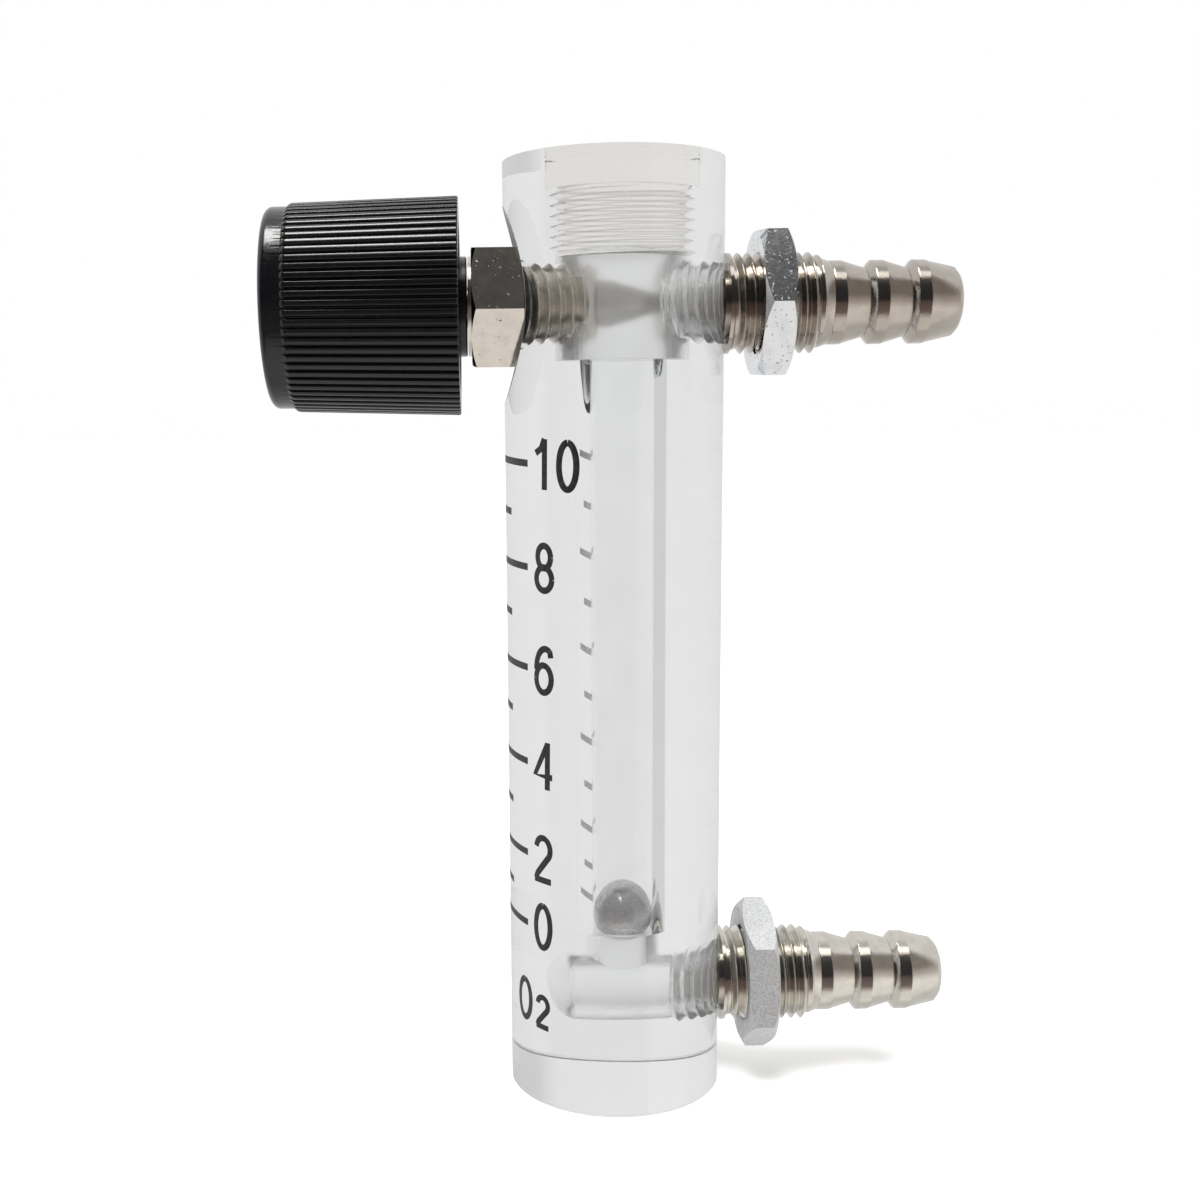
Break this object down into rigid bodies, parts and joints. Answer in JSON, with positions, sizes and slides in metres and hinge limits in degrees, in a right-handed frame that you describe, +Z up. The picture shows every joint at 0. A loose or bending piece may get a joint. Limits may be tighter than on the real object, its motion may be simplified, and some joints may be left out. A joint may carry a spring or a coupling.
{
  "type": "oxygen flowmeter",
  "caption": "Clear acrylic cylinder flow meter with a printed scale, a float ball in a tapered tube, a ribbed needle-valve knob and barbed hose connectors with lock nuts",
  "frame": {"origin": "centre of the body's flat foot", "axes": "+Z up along the body's axis, -X along the valve axis to the knob, +X to both hose connectors, -Y towards the reader of the scale"},
  "size_m": [0.0687, 0.022, 0.095],
  "materials": {
    "clear_acrylic": "polished clear acrylic",
    "plug_acrylic": "clear acrylic, cemented",
    "polished_steel": "polished steel ball",
    "nickel_plate": "satin nickel plate on brass",
    "black_rubber": "matt black rubber",
    "stainless_steel": "turned stainless steel",
    "black_plastic": "satin moulded plastic",
    "cap_plastic": "semi-gloss moulded plastic",
    "zinc_plate": "bright zinc plate, slightly grained"
  },
  "bodies": {
    "housing": {"body": "clear_acrylic", "top_plug": "plug_acrylic", "valve_bonnet": "nickel_plate", "bonnet_oring": "black_rubber", "outlet_connector": "nickel_plate", "inlet_connector": "nickel_plate"},
    "stem_travel": {"stem_oring": "black_rubber"},
    "knob_assembly": {"needle_stem": "stainless_steel", "knob": "black_plastic", "knob_cap": "cap_plastic", "knob_screw": "zinc_plate"},
    "float": {"float_ball": "polished_steel"},
    "outlet_nut": {"outlet_lock_nut": "zinc_plate"},
    "inlet_nut": {"inlet_lock_nut": "zinc_plate"}
  },
  "joints": [
    {"name": "knob_turn", "type": "hinge", "parent": "stem_travel", "child": "knob_assembly", "pos_m": [0, 0, 0.08115], "axis": [-1, 0, 0], "range_deg": [0, 1260]},
    {"name": "valve_travel", "type": "slide", "parent": "housing", "child": "stem_travel", "axis": [-1, 0, 0], "range_m": [0, 0.00265]},
    {"name": "float_rise", "type": "slide", "parent": "housing", "child": "float", "axis": [0, 0, 1], "range_m": [0, 0.055]},
    {"name": "outlet_nut_travel", "type": "slide", "parent": "housing", "child": "outlet_nut", "axis": [1, 0, 0], "range_m": [-0.0028, 0.0032]},
    {"name": "inlet_nut_travel", "type": "slide", "parent": "housing", "child": "inlet_nut", "axis": [1, 0, 0], "range_m": [-0.0021, 0.0038]}
  ],
  "couplings": [
    {"joint": "valve_travel", "follows": "knob_turn", "m_per_rad": 0.00011937}
  ]
}
